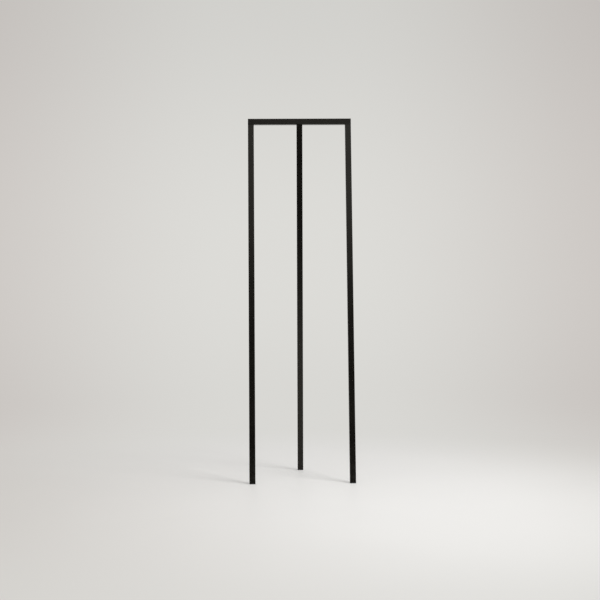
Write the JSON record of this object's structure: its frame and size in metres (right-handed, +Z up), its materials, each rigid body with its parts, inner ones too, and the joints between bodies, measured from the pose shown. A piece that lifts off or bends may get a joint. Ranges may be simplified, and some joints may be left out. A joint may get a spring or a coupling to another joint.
{
  "type": "three-legged clothes stand",
  "caption": "Tall slim clothes stand of black square steel tube: a short crossbar on two forward-leaning front legs and one backward-leaning rear leg, joined by hidden spigots and lock screws.",
  "frame": {"origin": "on the floor, under the middle of the footprint of the three feet", "axes": "+Z up, the front of the stand faces -Y, +X to the viewer's right along the crossbar"},
  "size_m": [0.442, 0.44, 1.54],
  "materials": {
    "powder_coat": "smooth semi-gloss black powder coat on steel tube",
    "zinc": "bright zinc-plated steel",
    "screw_black": "black oxide steel",
    "foot_plastic": "matt black moulded plastic"
  },
  "bodies": {
    "root": {"crossbar": "powder_coat", "crossbar_end_plate_left": "powder_coat", "crossbar_end_plate_right": "powder_coat", "front_leg_left": "powder_coat", "front_leg_right": "powder_coat", "rear_leg": "powder_coat", "leg_spigot_left": "powder_coat", "leg_spigot_right": "powder_coat", "leg_spigot_rear": "powder_coat", "spigot_nut_left": "zinc", "spigot_nut_right": "zinc", "spigot_nut_rear": "zinc", "lock_screw_left": "screw_black", "lock_screw_right": "screw_black", "lock_screw_rear": "screw_black", "lock_washer_left": "screw_black", "lock_washer_right": "screw_black", "lock_washer_rear": "screw_black", "foot_plug_left": "foot_plastic", "foot_plug_right": "foot_plastic", "foot_plug_rear": "foot_plastic"}
  },
  "joints": []
}
